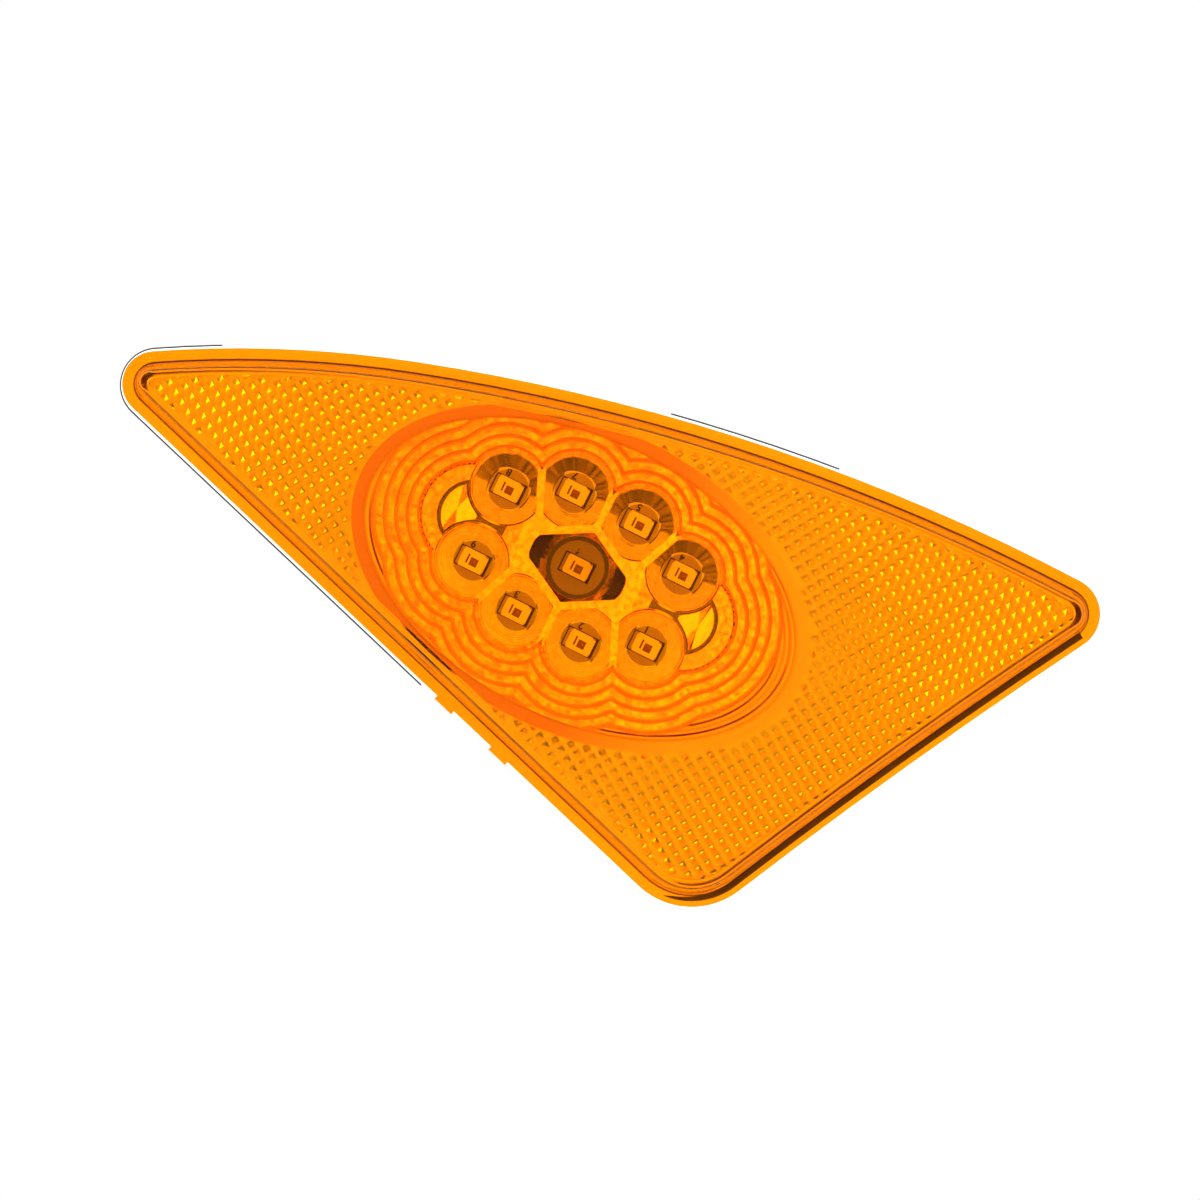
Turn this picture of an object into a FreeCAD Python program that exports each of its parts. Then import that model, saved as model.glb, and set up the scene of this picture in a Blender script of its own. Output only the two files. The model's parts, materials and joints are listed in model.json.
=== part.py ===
import FreeCAD, Part
import math
import os

# Amber marker lamp for a truck fender: nine LEDs in a metallised reflector,
# behind a three-cornered lens with a field of prisms round a clear oval window.
# Millimetres. The origin lies on the mounting face, midway between the two studs and
# behind the window's centre.
# +Z points out of the lens and +X along the window's long axis.

V = FreeCAD.Vector
ORIGIN = V(0, 0, 0)
UP = V(0, 0, 1)

# How near two things must lie to count as one place
SAME_PLACE = 1e-3

# Outline of the lens: three corners before rounding, and the crowned top edge,
# which is one arc up to the knot and a second, tangent arc from there
LEFT_CORNER = (-76.4, -3.2)
RIGHT_CORNER = (71.7, 30.3)
BOTTOM_CORNER = (35.2, -37.7)
TOP_KNOT = (-34.35, 17.06)
TOP_LEFT_CROWN = 1.66
LOWER_RIGHT_HOLLOW = 0.86
LEFT_RADIUS = 4.6
RIGHT_RADIUS = 5.2
BOTTOM_RADIUS = 10.9

# Heights of the stack, counted up from the mounting face
GASKET_THICKNESS = 2.0
TRAY_THICKNESS = 2.0
LENS_FLANGE_THICKNESS = 1.6
LENS_RISE = 3.4
LENS_WALL = 2.4

# Lens section
LENS_FLANGE_WIDTH = 1.8
LENS_DRAFT = 20.0
LENS_SIDE_WALL = 1.7
LENS_EDGE_ROUND = 0.6
LENS_FOOT_ROUND = 0.8
TAB_LENGTH = 3.2
TAB_REACH = 0.6
TAB_THICKNESS = 1.0
TAB_ALONG_EDGE = (46.5, 36.1)

# Clear window and the prisms round it
WINDOW_A = 34.5
WINDOW_B = 21.4
WINDOW_RECESS = 0.3
PRISM_PITCH = 1.6
PRISM_BASE = 1.0
PRISM_HEIGHT = 0.4
PRISM_TURN = -33.2
PRISM_MARGIN = 0.1
PRISM_LEAST_PART = 0.15

# Housing
RIM = 0.7
RIM_CHAMFER = 0.25
TUB_WALL = 1.8
TUB_FLOOR = 2.4
TUB_DRAFT = 2.0
STUD_SPACING = 86.0
STUD_BOSS_RADIUS = 4.2
BOSS_STANDOFF = 0.4
RIB_WIDTH = 1.6
RIB_HEIGHT = 1.2
PILLAR_RADIUS = 1.6
PILLAR_X = 10.5
PILLAR_Y = 11.0

# Middle of what stands on the floor of the tub
FLOOR_X = -1.3
FLOOR_Y = 1.1

# Studs and gasket
STUD_RADIUS = 2.5
STUD_REACH = 12.0
STUD_COLLAR_RADIUS = 2.9
STUD_HEAD_RADIUS = 3.4
STUD_HEAD_HEIGHT = 1.6
STUD_CHAMFER = 0.5
GASKET_INSET = 1.0
GASKET_WIDTH = 5.0
GASKET_TUB_GAP = 0.4

# LED places, counted from the middle LED
CLUSTER_X = -1.1
CLUSTER_Y = 1.3
OUTER_X = 13.9
OUTER_Y = 5.72
INNER_X = 5.15
INNER_Y = 9.43

# Reflector
OPENING_A = 32.2
OPENING_B = 19.5
REFLECTOR_WALL = 0.8
REFLECTOR_FLANGE = 1.0
FLANGE_OVERLAP = 1.9
FIT_GAP = 0.25
TERRACES = 5
TERRACE_DROP = 0.9
TERRACE_STEP = 1.55
TERRACE_SLOPE_RUN = 0.6
CUP_DEPTH = 5.5
CUP_FOOT_RADIUS = 2.9
CUP_MOUTH_RADIUS = 4.85
CUP_RIM = 0.6
BEAD_HEIGHT = 0.25
BEAD_SLOPE = 0.2
BEAD_MARGIN = 0.05
CUP_LAND = 1.1
MIDDLE_FOOT_RADIUS = 3.9
MIDDLE_STEP_RADIUS = 4.5
MIDDLE_STEP_HEIGHT = 3.3
MIDDLE_MOUTH_RADIUS = 7.2
END_X = 16.6
END_RADIUS = 7.2
END_DROP = 0.4
MOON_RADIUS = 4.45
MOON_PEAK = 0.9
MOON_RIDGE_ANGLE = 86.0
MOON_BLUNT = 3.0
TRENCH_WIDTH = 0.65
TRENCH_RIM_GAP = 0.3
TRENCH_DEPTH = 2.2
SCREW_X = 19.0
SCREW_BOSS_RADIUS = 2.4

# Circuit board and what is soldered or screwed to it
BOARD_THICKNESS = 1.6
BOARD_TUB_GAP = 3.5
BOARD_FLOOR_SPACE = 4.0
LED_LENGTH = 3.5
LED_WIDTH = 2.8
LED_HEIGHT = 1.9
LED_POCKET = 1.2
LED_POCKET_X = 0.2
LED_POCKET_Y = -0.2
LED_POCKET_DEPTH = 0.3
LED_SLIT_WIDTH = 0.3
LED_SLIT_LENGTH = 1.4
LED_SLIT_X = -0.8
LED_LEAD_WIDTH = 2.2
LED_LEAD_REACH = 0.15
LED_LEAD_HEIGHT = 0.9
LED_NOTCH = 0.7
RESISTOR_LENGTH = 3.2
RESISTOR_WIDTH = 1.6
RESISTOR_HEIGHT = 0.6
RESISTOR_CAP = 0.5
RESISTOR_CAP_PROUD = 0.05
RESISTOR_SPACING = 4.0
RESISTORS = 3
DIODE_LENGTH = 4.3
DIODE_WIDTH = 2.6
DIODE_HEIGHT = 2.2
DIODE_TAB_REACH = 0.5
DIODE_TAB_HEIGHT = 0.8
DIODE_TAB_WIDTH = 1.5
DIODE_X = 8.0
SCREW_RADIUS = 1.1
SCREW_LENGTH = 4.4
SCREW_HEAD_RADIUS = 2.0
SCREW_HEAD_HEIGHT = 1.3
SCREW_HOLE_GAP = 0.2
WIRE_HOLE_RADIUS = 0.5
WIRE_HOLE_SPACING = 3.0

# Rubber grommet in the floor of the tub
GROMMET_X = 16.0
GROMMET_NECK_RADIUS = 3.6
GROMMET_FLANGE_RADIUS = 5.2
GROMMET_FLANGE = 1.2
GROMMET_BORE_RADIUS = 2.0

# Levels worked out from the stack
z_tray_back = GASKET_THICKNESS
z_tray_face = z_tray_back + TRAY_THICKNESS
z_lens_flange = z_tray_face + LENS_FLANGE_THICKNESS
z_lens_face = z_lens_flange + LENS_RISE
z_ceiling = z_lens_face - LENS_WALL
z_reflector_top = z_tray_face + REFLECTOR_FLANGE
z_land = z_reflector_top - TERRACES * TERRACE_DROP
z_end = z_land - END_DROP
z_board = z_land - CUP_DEPTH
z_board_back = z_board - BOARD_THICKNESS
z_tub_floor = z_board_back - BOARD_FLOOR_SPACE
z_tub_bottom = z_tub_floor - TUB_FLOOR

# Widths worked out from the lens section and the reflector's opening
wall_run = LENS_RISE * math.tan(math.radians(LENS_DRAFT))
cavity_inset = LENS_FLANGE_WIDTH + wall_run * (1 - LENS_WALL / LENS_RISE) + LENS_SIDE_WALL
tub_mouth_grow = REFLECTOR_WALL + FIT_GAP
rim_radius = CUP_MOUTH_RADIUS + CUP_RIM

led_places = {
    1: (OUTER_X, -OUTER_Y), 2: (INNER_X, -INNER_Y), 3: (-INNER_X, -INNER_Y),
    4: (OUTER_X, OUTER_Y), 5: (INNER_X, INNER_Y), 6: (0.0, 0.0),
    7: (-INNER_X, INNER_Y), 8: (-OUTER_X, OUTER_Y), 9: (-OUTER_X, -OUTER_Y),
}
MIDDLE_LED = 6
led_at = {n: V(CLUSTER_X + x, CLUSTER_Y + y, 0) for n, (x, y) in led_places.items()}
ends_at = [V(CLUSTER_X + side * END_X, CLUSTER_Y, 0) for side in (-1, 1)]
screws_at = [V(CLUSTER_X + side * SCREW_X, CLUSTER_Y, 0) for side in (-1, 1)]
ring_leds = [n for n in led_at if n != MIDDLE_LED]
stud_at = [V(side * STUD_SPACING / 2, 0, 0) for side in (-1, 1)]


def flat(point):
    return V(point[0], point[1], 0)


def bowed_circle(start, end, bow):
    """Circle through two points that stands out by bow to the left of the way between them."""
    way = end - start
    aside = V(-way.y, way.x, 0).normalize()
    return Part.Circle(start, (start + end) * 0.5 + aside * bow, end)


def arc_about(centre, radius, start, end):
    """The shorter arc between two points of a circle."""
    middle = (start + end) * 0.5 - centre
    return Part.Arc(start, centre + middle.normalize() * radius, end).toShape()


def tangent_circle(point, circle, other):
    """Circle that touches another one at a point, and passes through a second point."""
    normal = (circle.Center - point).normalize()
    chord = other - point
    radius = chord.dot(chord) / (2 * chord.dot(normal))
    return Part.Circle(point + normal * radius, UP, radius)


def nearest(first, second, near):
    """The crossing of two curves that lies nearest to a point."""
    points = [V(p.X, p.Y, 0) for p in first.intersectCC(second)]
    return min(points, key=lambda point: (point - near).Length)


def foot(curve, point):
    return curve.value(curve.parameter(point))


left, right, bottom, knot = map(flat, (LEFT_CORNER, RIGHT_CORNER, BOTTOM_CORNER, TOP_KNOT))
lower_left_way = (left - bottom).normalize()
lower_left_in = V(lower_left_way.y, -lower_left_way.x, 0)
top_left = bowed_circle(left, knot, TOP_LEFT_CROWN)
top_right = tangent_circle(knot, top_left, right)
lower_right = bowed_circle(right, bottom, -LOWER_RIGHT_HOLLOW)


def side_curves(inset):
    """The four sides of the lens outline, clockwise from the lower left, drawn in by inset."""
    return (
        Part.Line(bottom + lower_left_in * inset, left + lower_left_in * inset),
        Part.Circle(top_left.Center, UP, top_left.Radius - inset),
        Part.Circle(top_right.Center, UP, top_right.Radius - inset),
        Part.Circle(lower_right.Center, UP, lower_right.Radius + inset),
    )


def round_corner(first, second, sharp, radius, inset):
    """Start and end of a corner between two sides, and the arc that joins them, if any is left."""
    depth = max(radius, inset)
    centre = nearest(side_curves(depth)[first], side_curves(depth)[second], sharp)
    if inset >= radius:
        return centre, centre, []
    start = foot(side_curves(inset)[first], centre)
    end = foot(side_curves(inset)[second], centre)
    crown = centre + (sharp - centre).normalize() * (radius - inset)
    return start, end, [Part.Arc(start, crown, end).toShape()]


def outline(inset, z):
    """The lens outline drawn in by inset, or out where inset is negative."""
    arc_1, arc_2, arc_3 = side_curves(inset)[1:]
    left_start, left_end, left_arc = round_corner(0, 1, left, LEFT_RADIUS, inset)
    right_start, right_end, right_arc = round_corner(2, 3, right, RIGHT_RADIUS, inset)
    bottom_start, bottom_end, bottom_arc = round_corner(3, 0, bottom, BOTTOM_RADIUS, inset)
    inset_knot = foot(arc_1, knot)
    edges = left_arc + [arc_about(arc_1.Center, arc_1.Radius, left_end, inset_knot)]
    edges += [arc_about(arc_2.Center, arc_2.Radius, inset_knot, right_start)] + right_arc
    edges += [arc_about(arc_3.Center, arc_3.Radius, right_end, bottom_start)] + bottom_arc
    edges += [Part.LineSegment(bottom_end, left_start).toShape()]
    wire = Part.Wire(edges)
    wire.translate(V(0, 0, z))
    return wire


def prism(wire, height):
    return Part.Face(wire).extrude(V(0, 0, height))


def plate(inset, low, high):
    return prism(outline(inset, low), high - low)


def ellipse(a, b, z):
    edge = Part.Ellipse(V(0, 0, z), a, b).toShape()
    return Part.Wire([edge])


def oval(a, b, low, high):
    return prism(ellipse(a, b, low), high - low)


def drafted_oval(a, b, low, high, draft):
    """Oval plug of the given size at its top, narrower below by the draft angle."""
    shrink = (high - low) * math.tan(math.radians(draft))
    return Part.makeLoft([ellipse(a - shrink, b - shrink, low), ellipse(a, b, high)], True)


def post(radius, low, high, at):
    return Part.makeCylinder(radius, high - low, V(at.x, at.y, low))


def cone(low_radius, high_radius, low, high, at):
    return Part.makeCone(low_radius, high_radius, high - low, V(at.x, at.y, low))


def block(length, width, low, high, at):
    corner = V(at.x - length / 2, at.y - width / 2, low)
    return Part.makeBox(length, width, high - low, corner)


def fuse(shapes):
    return shapes[0].multiFuse(shapes[1:]).removeSplitter()


def cut(shape, tools):
    return shape.cut(tools).removeSplitter()


def level_face(shape, z):
    """The flat face of a shape that lies at one level."""
    boxes = [(face, face.BoundBox) for face in shape.Faces]
    return next(f for f, box in boxes if max(abs(box.ZMin - z), abs(box.ZMax - z)) < SAME_PLACE)


def lens_blank():
    """Flange and raised face in one moulding, rounded along both edges of the wall."""
    flange = plate(0, z_tray_face, z_lens_flange)
    wall_foot = outline(LENS_FLANGE_WIDTH, z_lens_flange)
    wall_crest = outline(LENS_FLANGE_WIDTH + wall_run, z_lens_face)
    blank = fuse([flange, Part.makeLoft([wall_foot, wall_crest], True, True)])
    blank = blank.makeFillet(LENS_EDGE_ROUND, level_face(blank, z_lens_face).Edges)
    loops = level_face(blank, z_lens_flange).Wires
    inner_loop = min(loops, key=lambda loop: loop.BoundBox.DiagonalLength)
    return blank.makeFillet(LENS_FOOT_ROUND, inner_loop.Edges)


def lens_tabs():
    """Two small locating tabs on the lower left edge."""
    angle = math.degrees(math.atan2(lower_left_way.y, lower_left_way.x))
    tabs = []
    for along in TAB_ALONG_EDGE:
        tab = Part.makeBox(TAB_LENGTH, TAB_REACH + LENS_FLANGE_WIDTH / 2, TAB_THICKNESS)
        tab.translate(V(-TAB_LENGTH / 2, -LENS_FLANGE_WIDTH / 2, z_tray_face))
        tab.rotate(ORIGIN, UP, angle)
        tab.translate(bottom + lower_left_way * along)
        tabs.append(tab)
    return tabs


def pyramid(at):
    """One four-sided prism that hangs from the ceiling of the lens."""
    half = PRISM_BASE / 2
    base = [V(half * x, half * y, 0) for x, y in ((-1, -1), (1, -1), (1, 1), (-1, 1))]
    tip = V(0, 0, -PRISM_HEIGHT)
    faces = [Part.Face(Part.makePolygon(base + base[:1]))]
    for first, second in zip(base, base[1:] + base[:1]):
        faces.append(Part.Face(Part.makePolygon([first, tip, second, first])))
    solid = Part.Solid(Part.Shell(faces))
    solid.rotate(ORIGIN, UP, PRISM_TURN)
    solid.translate(at)
    return solid


def field_part(margin):
    """Two faces, the cavity's ceiling drawn in by a margin and the window grown by it."""
    room = Part.Face(outline(cavity_inset + margin, z_ceiling))
    return room, Part.Face(ellipse(WINDOW_A + margin, WINDOW_B + margin, z_ceiling))


def in_field(at, field):
    room, window = field
    return room.isInside(at, SAME_PLACE, True) and not window.isInside(at, SAME_PLACE, True)


def prism_field():
    """Pyramids on a square lattice, cut off where they meet the cavity's wall or the window."""
    reach = PRISM_BASE * math.sqrt(0.5)
    whole_fits = field_part(PRISM_MARGIN + reach)
    part_fits = field_part(PRISM_MARGIN - reach)
    room, window = [face.extrude(V(0, 0, -PRISM_HEIGHT)) for face in field_part(PRISM_MARGIN)]
    turn = math.radians(PRISM_TURN)
    across = V(math.cos(turn), math.sin(turn), 0) * PRISM_PITCH
    along = V(-across.y, across.x, 0)
    count = int(room.BoundBox.DiagonalLength / PRISM_PITCH)
    pyramids = []
    for i in range(-count, count + 1):
        for j in range(-count, count + 1):
            at = across * i + along * j + V(0, 0, z_ceiling)
            if in_field(at, whole_fits):
                pyramids.append(pyramid(at))
            elif in_field(at, part_fits):
                whole = pyramid(at)
                kept = whole.common(room).cut(window)
                if kept.Volume > PRISM_LEAST_PART * whole.Volume:
                    pyramids += kept.Solids
    return pyramids


def amber_lens():
    cavity = plate(cavity_inset, z_tray_face, z_ceiling)
    window = oval(WINDOW_A, WINDOW_B, z_ceiling, z_ceiling + WINDOW_RECESS)
    shell = fuse([lens_blank()] + lens_tabs())
    return cut(shell, [cavity, window]).multiFuse(prism_field())


def tub_plug(grow, low, high):
    """Oval plug that the tub is cut with, or grown from, at any level below the tray."""
    widen = (high - z_tray_face) * math.tan(math.radians(TUB_DRAFT))
    a = OPENING_A + tub_mouth_grow + grow + widen
    b = OPENING_B + tub_mouth_grow + grow + widen
    return drafted_oval(a, b, low, high, TUB_DRAFT)


def tray_ribs():
    """Ribs behind the tray, through each stud boss, that stop short of the gasket."""
    low = z_tray_back - RIB_HEIGHT
    length = outline(0, 0).BoundBox.DiagonalLength
    ribs = [block(length, RIB_WIDTH, low, z_tray_back, ORIGIN)]
    ribs += [block(RIB_WIDTH, length, low, z_tray_back, at) for at in stud_at]
    inside = plate(GASKET_INSET + GASKET_WIDTH - RIM + GASKET_TUB_GAP, low, z_tray_back)
    return [rib.common(inside) for rib in ribs]


def stud(at):
    """Insert-moulded stud, with a collar and a round head inside its boss."""
    head_low = z_tray_back - STUD_HEAD_HEIGHT / 2
    shank = post(STUD_RADIUS, -STUD_REACH, BOSS_STANDOFF, at)
    tip_edges = [e for e in shank.Edges if e.BoundBox.ZMax < -STUD_REACH + SAME_PLACE]
    shank = shank.makeChamfer(STUD_CHAMFER, tip_edges)
    collar = post(STUD_COLLAR_RADIUS, BOSS_STANDOFF, head_low, at)
    return fuse([shank, collar, post(STUD_HEAD_RADIUS, head_low, head_low + STUD_HEAD_HEIGHT, at)])


def grommet_place():
    return V(FLOOR_X + GROMMET_X, FLOOR_Y, 0)


def pillar_places():
    return [V(FLOOR_X + x, FLOOR_Y + y, 0)
            for x in (-PILLAR_X, PILLAR_X) for y in (-PILLAR_Y, PILLAR_Y)]


def housing():
    tray = plate(-RIM, z_tray_back, z_tray_face)
    face_edges = [e for e in tray.Edges if e.BoundBox.ZMin > z_tray_face - SAME_PLACE]
    tray = tray.makeChamfer(RIM_CHAMFER, face_edges)
    outside = [tray, tub_plug(TUB_WALL, z_tub_bottom, z_tray_back)] + tray_ribs()
    outside += [post(STUD_BOSS_RADIUS, BOSS_STANDOFF, z_tray_back, at) for at in stud_at]
    grommet_at = grommet_place()
    cuts = [
        tub_plug(0, z_tub_floor, z_tray_face),
        post(GROMMET_NECK_RADIUS, z_tub_bottom, z_tub_floor, grommet_at),
        post(GROMMET_FLANGE_RADIUS, z_tub_bottom, z_tub_bottom + GROMMET_FLANGE, grommet_at),
    ]
    cuts += [stud(at) for at in stud_at]
    body = cut(fuse(outside), cuts)
    pillars = [post(PILLAR_RADIUS, z_tub_floor, z_board_back, at) for at in pillar_places()]
    return fuse([body] + pillars)


def mounting_gasket():
    low, high = 0, z_tray_back
    ring = plate(GASKET_INSET - RIM, low, high)
    middle = plate(GASKET_INSET - RIM + GASKET_WIDTH, low, high)
    a = OPENING_A + tub_mouth_grow + TUB_WALL + GASKET_TUB_GAP
    b = OPENING_B + tub_mouth_grow + TUB_WALL + GASKET_TUB_GAP
    return cut(ring, [middle, oval(a, b, low, high)])


def cable_grommet():
    """Rubber bush with a flange on each side of the tub floor."""
    at = grommet_place()
    neck_low = z_tub_bottom + GROMMET_FLANGE
    bush = fuse([
        post(GROMMET_FLANGE_RADIUS, z_tub_bottom, neck_low, at),
        post(GROMMET_NECK_RADIUS, neck_low, z_tub_floor, at),
        post(GROMMET_FLANGE_RADIUS, z_tub_floor, z_tub_floor + GROMMET_FLANGE, at),
    ])
    return cut(bush, [post(GROMMET_BORE_RADIUS, z_tub_bottom, z_tub_floor + GROMMET_FLANGE, at)])


def cloud(spread, low, high, slope):
    """Scalloped plug round the ring of cups, wider by spread and sloping out as it rises."""
    widen = (high - low) * slope
    lobes = [(led_at[n], rim_radius) for n in ring_leds] + [(at, END_RADIUS) for at in ends_at]
    plugs = [cone(r + spread, r + spread + widen, low, high, at) for at, r in lobes]
    ring = sorted((led_at[n] for n in ring_leds),
                  key=lambda at: math.atan2(at.y - CLUSTER_Y, at.x - CLUSTER_X))
    core = prism(Part.makePolygon(ring + ring[:1]), high - low)
    core.translate(V(0, 0, low))
    return fuse([core] + plugs)


def half_plane_cut(polygon, point, normal):
    """The part of a convex polygon that lies behind a line."""
    kept = []
    for first, second in zip(polygon, polygon[1:] + polygon[:1]):
        a = (first - point).dot(normal)
        b = (second - point).dot(normal)
        if a <= 0:
            kept.append(first)
        if a * b < 0:
            kept.append(first + (second - first) * (a / (a - b)))
    return kept


def cup_cell(n, low, high):
    """Room that a cup may take, up to half a land from the middle line to each neighbour."""
    reach = 2 * MIDDLE_MOUTH_RADIUS
    centre = led_at[n]
    polygon = [centre + V(reach * x, reach * y, 0) for x, y in ((-1, -1), (1, -1), (1, 1), (-1, 1))]
    for other in led_at:
        if other != n:
            way = led_at[other] - centre
            edge = centre + way * (0.5 - CUP_LAND / 2 / way.Length)
            polygon = half_plane_cut(polygon, edge, way)
    cell = prism(Part.makePolygon(polygon + polygon[:1]), high - low)
    cell.translate(V(0, 0, low))
    return cell


def cup(n, grow):
    """Conical mirror of one LED, bare or grown by the wall. The middle one has two slopes."""
    at = led_at[n]
    if n != MIDDLE_LED:
        return cone(CUP_FOOT_RADIUS + grow, CUP_MOUTH_RADIUS + grow, z_board, z_land, at)
    z_step = z_board + MIDDLE_STEP_HEIGHT
    steep = cone(MIDDLE_FOOT_RADIUS + grow, MIDDLE_STEP_RADIUS + grow, z_board, z_step, at)
    wide = cone(MIDDLE_STEP_RADIUS + grow, MIDDLE_MOUTH_RADIUS + grow, z_step, z_land, at)
    return fuse([steep, wide])


def rim_bead(n):
    """Raised ring on the rim of a cup, as far as the lands beside it leave room."""
    at = led_at[n]
    top = z_land + BEAD_HEIGHT
    outer = rim_radius - BEAD_MARGIN
    inner = CUP_MOUTH_RADIUS + BEAD_MARGIN
    ring = cone(outer, outer - BEAD_SLOPE, z_land, top, at)
    ring = ring.cut(cone(inner, inner + BEAD_SLOPE, z_land, top, at))
    return ring.common(cup_cell(n, z_land, top))


def half_moon(at, peak_at):
    """Faceted island between two end cups, and the trench round it."""
    low = z_end - TRENCH_DEPTH
    top = z_end + MOON_PEAK
    rims = [post(rim_radius, low, top, led_at[n]) for n in ring_leds]
    gaps = [post(rim_radius + TRENCH_RIM_GAP, low, top, led_at[n]) for n in ring_leds]
    trench = post(MOON_RADIUS + TRENCH_WIDTH, low, top, at).cut(rims)
    outward = math.copysign(1, at.x - CLUSTER_X)
    front = MOON_RADIUS - (SCREW_X - END_X)
    side = front * math.tan(math.radians(MOON_RIDGE_ANGLE))
    corners = ((front, side), (-MOON_BLUNT, 0), (front, -side))
    base = [peak_at + V(outward * x, y, z_end) for x, y in corners]
    tip = peak_at + V(0, 0, top)
    faces = [Part.Face(Part.makePolygon(base + base[:1]))]
    faces += [Part.Face(Part.makePolygon([a, tip, b, a])) for a, b in zip(base, base[1:] + base[:1])]
    peak = Part.Solid(Part.Shell(faces))
    room_at = peak_at + V(outward * (MOON_RADIUS - MOON_BLUNT / 2), 0, 0)
    room = block(2 * MOON_RADIUS + MOON_BLUNT, 2 * MOON_RADIUS, low, top, room_at)
    island = post(MOON_RADIUS, low, top, at).cut(gaps).common(room)
    return trench, island.common(fuse([peak, post(2 * MOON_RADIUS, low, z_end, at)]))


def end_floor(at):
    """Flat round an island, a little below the rims of the cups beside it."""
    rims = [post(rim_radius, z_end, z_land, led_at[n]) for n in ring_leds]
    return post(END_RADIUS, z_end, z_land, at).cut(rims)


def reflector():
    slope = TERRACE_SLOPE_RUN / TERRACE_DROP
    above = z_reflector_top + REFLECTOR_FLANGE
    mirror_inset = cavity_inset + FIT_GAP
    opening = oval(OPENING_A, OPENING_B, z_board, above)
    opening = opening.common(plate(mirror_inset + REFLECTOR_WALL, z_board, above))
    bowl = oval(OPENING_A + REFLECTOR_WALL, OPENING_B + REFLECTOR_WALL, z_board, z_reflector_top)
    bowl = bowl.common(plate(mirror_inset, z_board, z_reflector_top))
    flange = oval(OPENING_A + FLANGE_OVERLAP, OPENING_B + FLANGE_OVERLAP, z_tray_face, z_reflector_top)
    flange = flange.common(plate(mirror_inset, z_tray_face, z_reflector_top))
    steps, walls = [], [flange]
    for k in range(TERRACES):
        spread = (TERRACES - 1 - k) * TERRACE_STEP
        floor = z_reflector_top - (k + 1) * TERRACE_DROP
        steps.append(cloud(spread, floor, above, slope).common(opening))
        wall_low = floor - REFLECTOR_WALL
        walls.append(cloud(spread + REFLECTOR_WALL, wall_low, z_reflector_top, slope).common(bowl))
    walls += [cup(n, REFLECTOR_WALL) for n in led_at]
    trench_low = z_end - TRENCH_DEPTH - REFLECTOR_WALL
    for at in ends_at:
        walls.append(post(END_RADIUS + REFLECTOR_WALL, z_end - REFLECTOR_WALL, z_land, at))
        walls.append(post(MOON_RADIUS + TRENCH_WIDTH + REFLECTOR_WALL, trench_low, z_land, at))
    walls += [post(SCREW_BOSS_RADIUS, z_board, z_end, at) for at in screws_at]
    steps += [cup(n, 0).common(cup_cell(n, z_board, z_land)) for n in led_at]
    steps += [end_floor(at) for at in ends_at]
    moons = [half_moon(at, peak_at) for at, peak_at in zip(ends_at, screws_at)]
    body = cut(fuse(walls), steps)
    body = cut(body, [trench for trench, island in moons])
    body = fuse([body] + [island for trench, island in moons] + [rim_bead(n) for n in ring_leds])
    return cut(body, [post(SCREW_RADIUS, z_board, z_board_back + SCREW_LENGTH, at) for at in screws_at])


def circuit_board():
    a = OPENING_A + tub_mouth_grow - BOARD_TUB_GAP
    b = OPENING_B + tub_mouth_grow - BOARD_TUB_GAP
    board = oval(a, b, z_board_back, z_board)
    holes = [post(SCREW_RADIUS + SCREW_HOLE_GAP, z_board_back, z_board, at) for at in screws_at]
    wires_at = grommet_place()
    for side in (-1, 1):
        at = wires_at + V(-GROMMET_FLANGE_RADIUS, side * WIRE_HOLE_SPACING / 2, 0)
        holes.append(post(WIRE_HOLE_RADIUS, z_board_back, z_board, at))
    return cut(board, holes)


def led(at):
    """Surface-mount LED: body with a square pocket for its chip, a slit and bent leads."""
    top = z_board + LED_HEIGHT
    body = block(LED_LENGTH, LED_WIDTH, z_board, top, at)
    mark = Part.makeBox(LED_NOTCH, LED_NOTCH, LED_HEIGHT)
    mark.rotate(ORIGIN, UP, 45)
    mark.translate(at + V(LED_LENGTH / 2, LED_WIDTH / 2 - LED_NOTCH * math.sqrt(0.5), z_board))
    floor = top - LED_POCKET_DEPTH
    pocket = block(LED_POCKET, LED_POCKET, floor, top, at + V(LED_POCKET_X, LED_POCKET_Y, 0))
    slit = block(LED_SLIT_WIDTH, LED_SLIT_LENGTH, floor, top, at + V(LED_SLIT_X, 0, 0))
    leads = block(LED_LENGTH + 2 * LED_LEAD_REACH, LED_LEAD_WIDTH, z_board, z_board + LED_LEAD_HEIGHT, at)
    return fuse([cut(body, [mark, pocket, slit]), leads])


def resistor(at):
    """Chip resistor on the back of the board, with plated end caps."""
    low = z_board_back - RESISTOR_HEIGHT
    chip = block(RESISTOR_LENGTH, RESISTOR_WIDTH, low, z_board_back, at)
    caps = []
    for side in (-1, 1):
        cap_at = at + V(side * (RESISTOR_LENGTH - RESISTOR_CAP) / 2, 0, 0)
        caps.append(block(RESISTOR_CAP, RESISTOR_WIDTH + 2 * RESISTOR_CAP_PROUD,
                          low - RESISTOR_CAP_PROUD, z_board_back, cap_at))
    return fuse([chip] + caps)


def reverse_diode():
    at = V(CLUSTER_X - DIODE_X, CLUSTER_Y, 0)
    body = block(DIODE_LENGTH, DIODE_WIDTH, z_board_back - DIODE_HEIGHT, z_board_back, at)
    tabs = block(DIODE_LENGTH + 2 * DIODE_TAB_REACH, DIODE_TAB_WIDTH,
                 z_board_back - DIODE_TAB_HEIGHT, z_board_back, at)
    return fuse([body, tabs])


def board_screw(at):
    head = post(SCREW_HEAD_RADIUS, z_board_back - SCREW_HEAD_HEIGHT, z_board_back, at)
    return fuse([head, post(SCREW_RADIUS, z_board_back, z_board_back + SCREW_LENGTH, at)])


def export(shape, name):
    shape.exportStep("parts/%s.step" % name)


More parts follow.
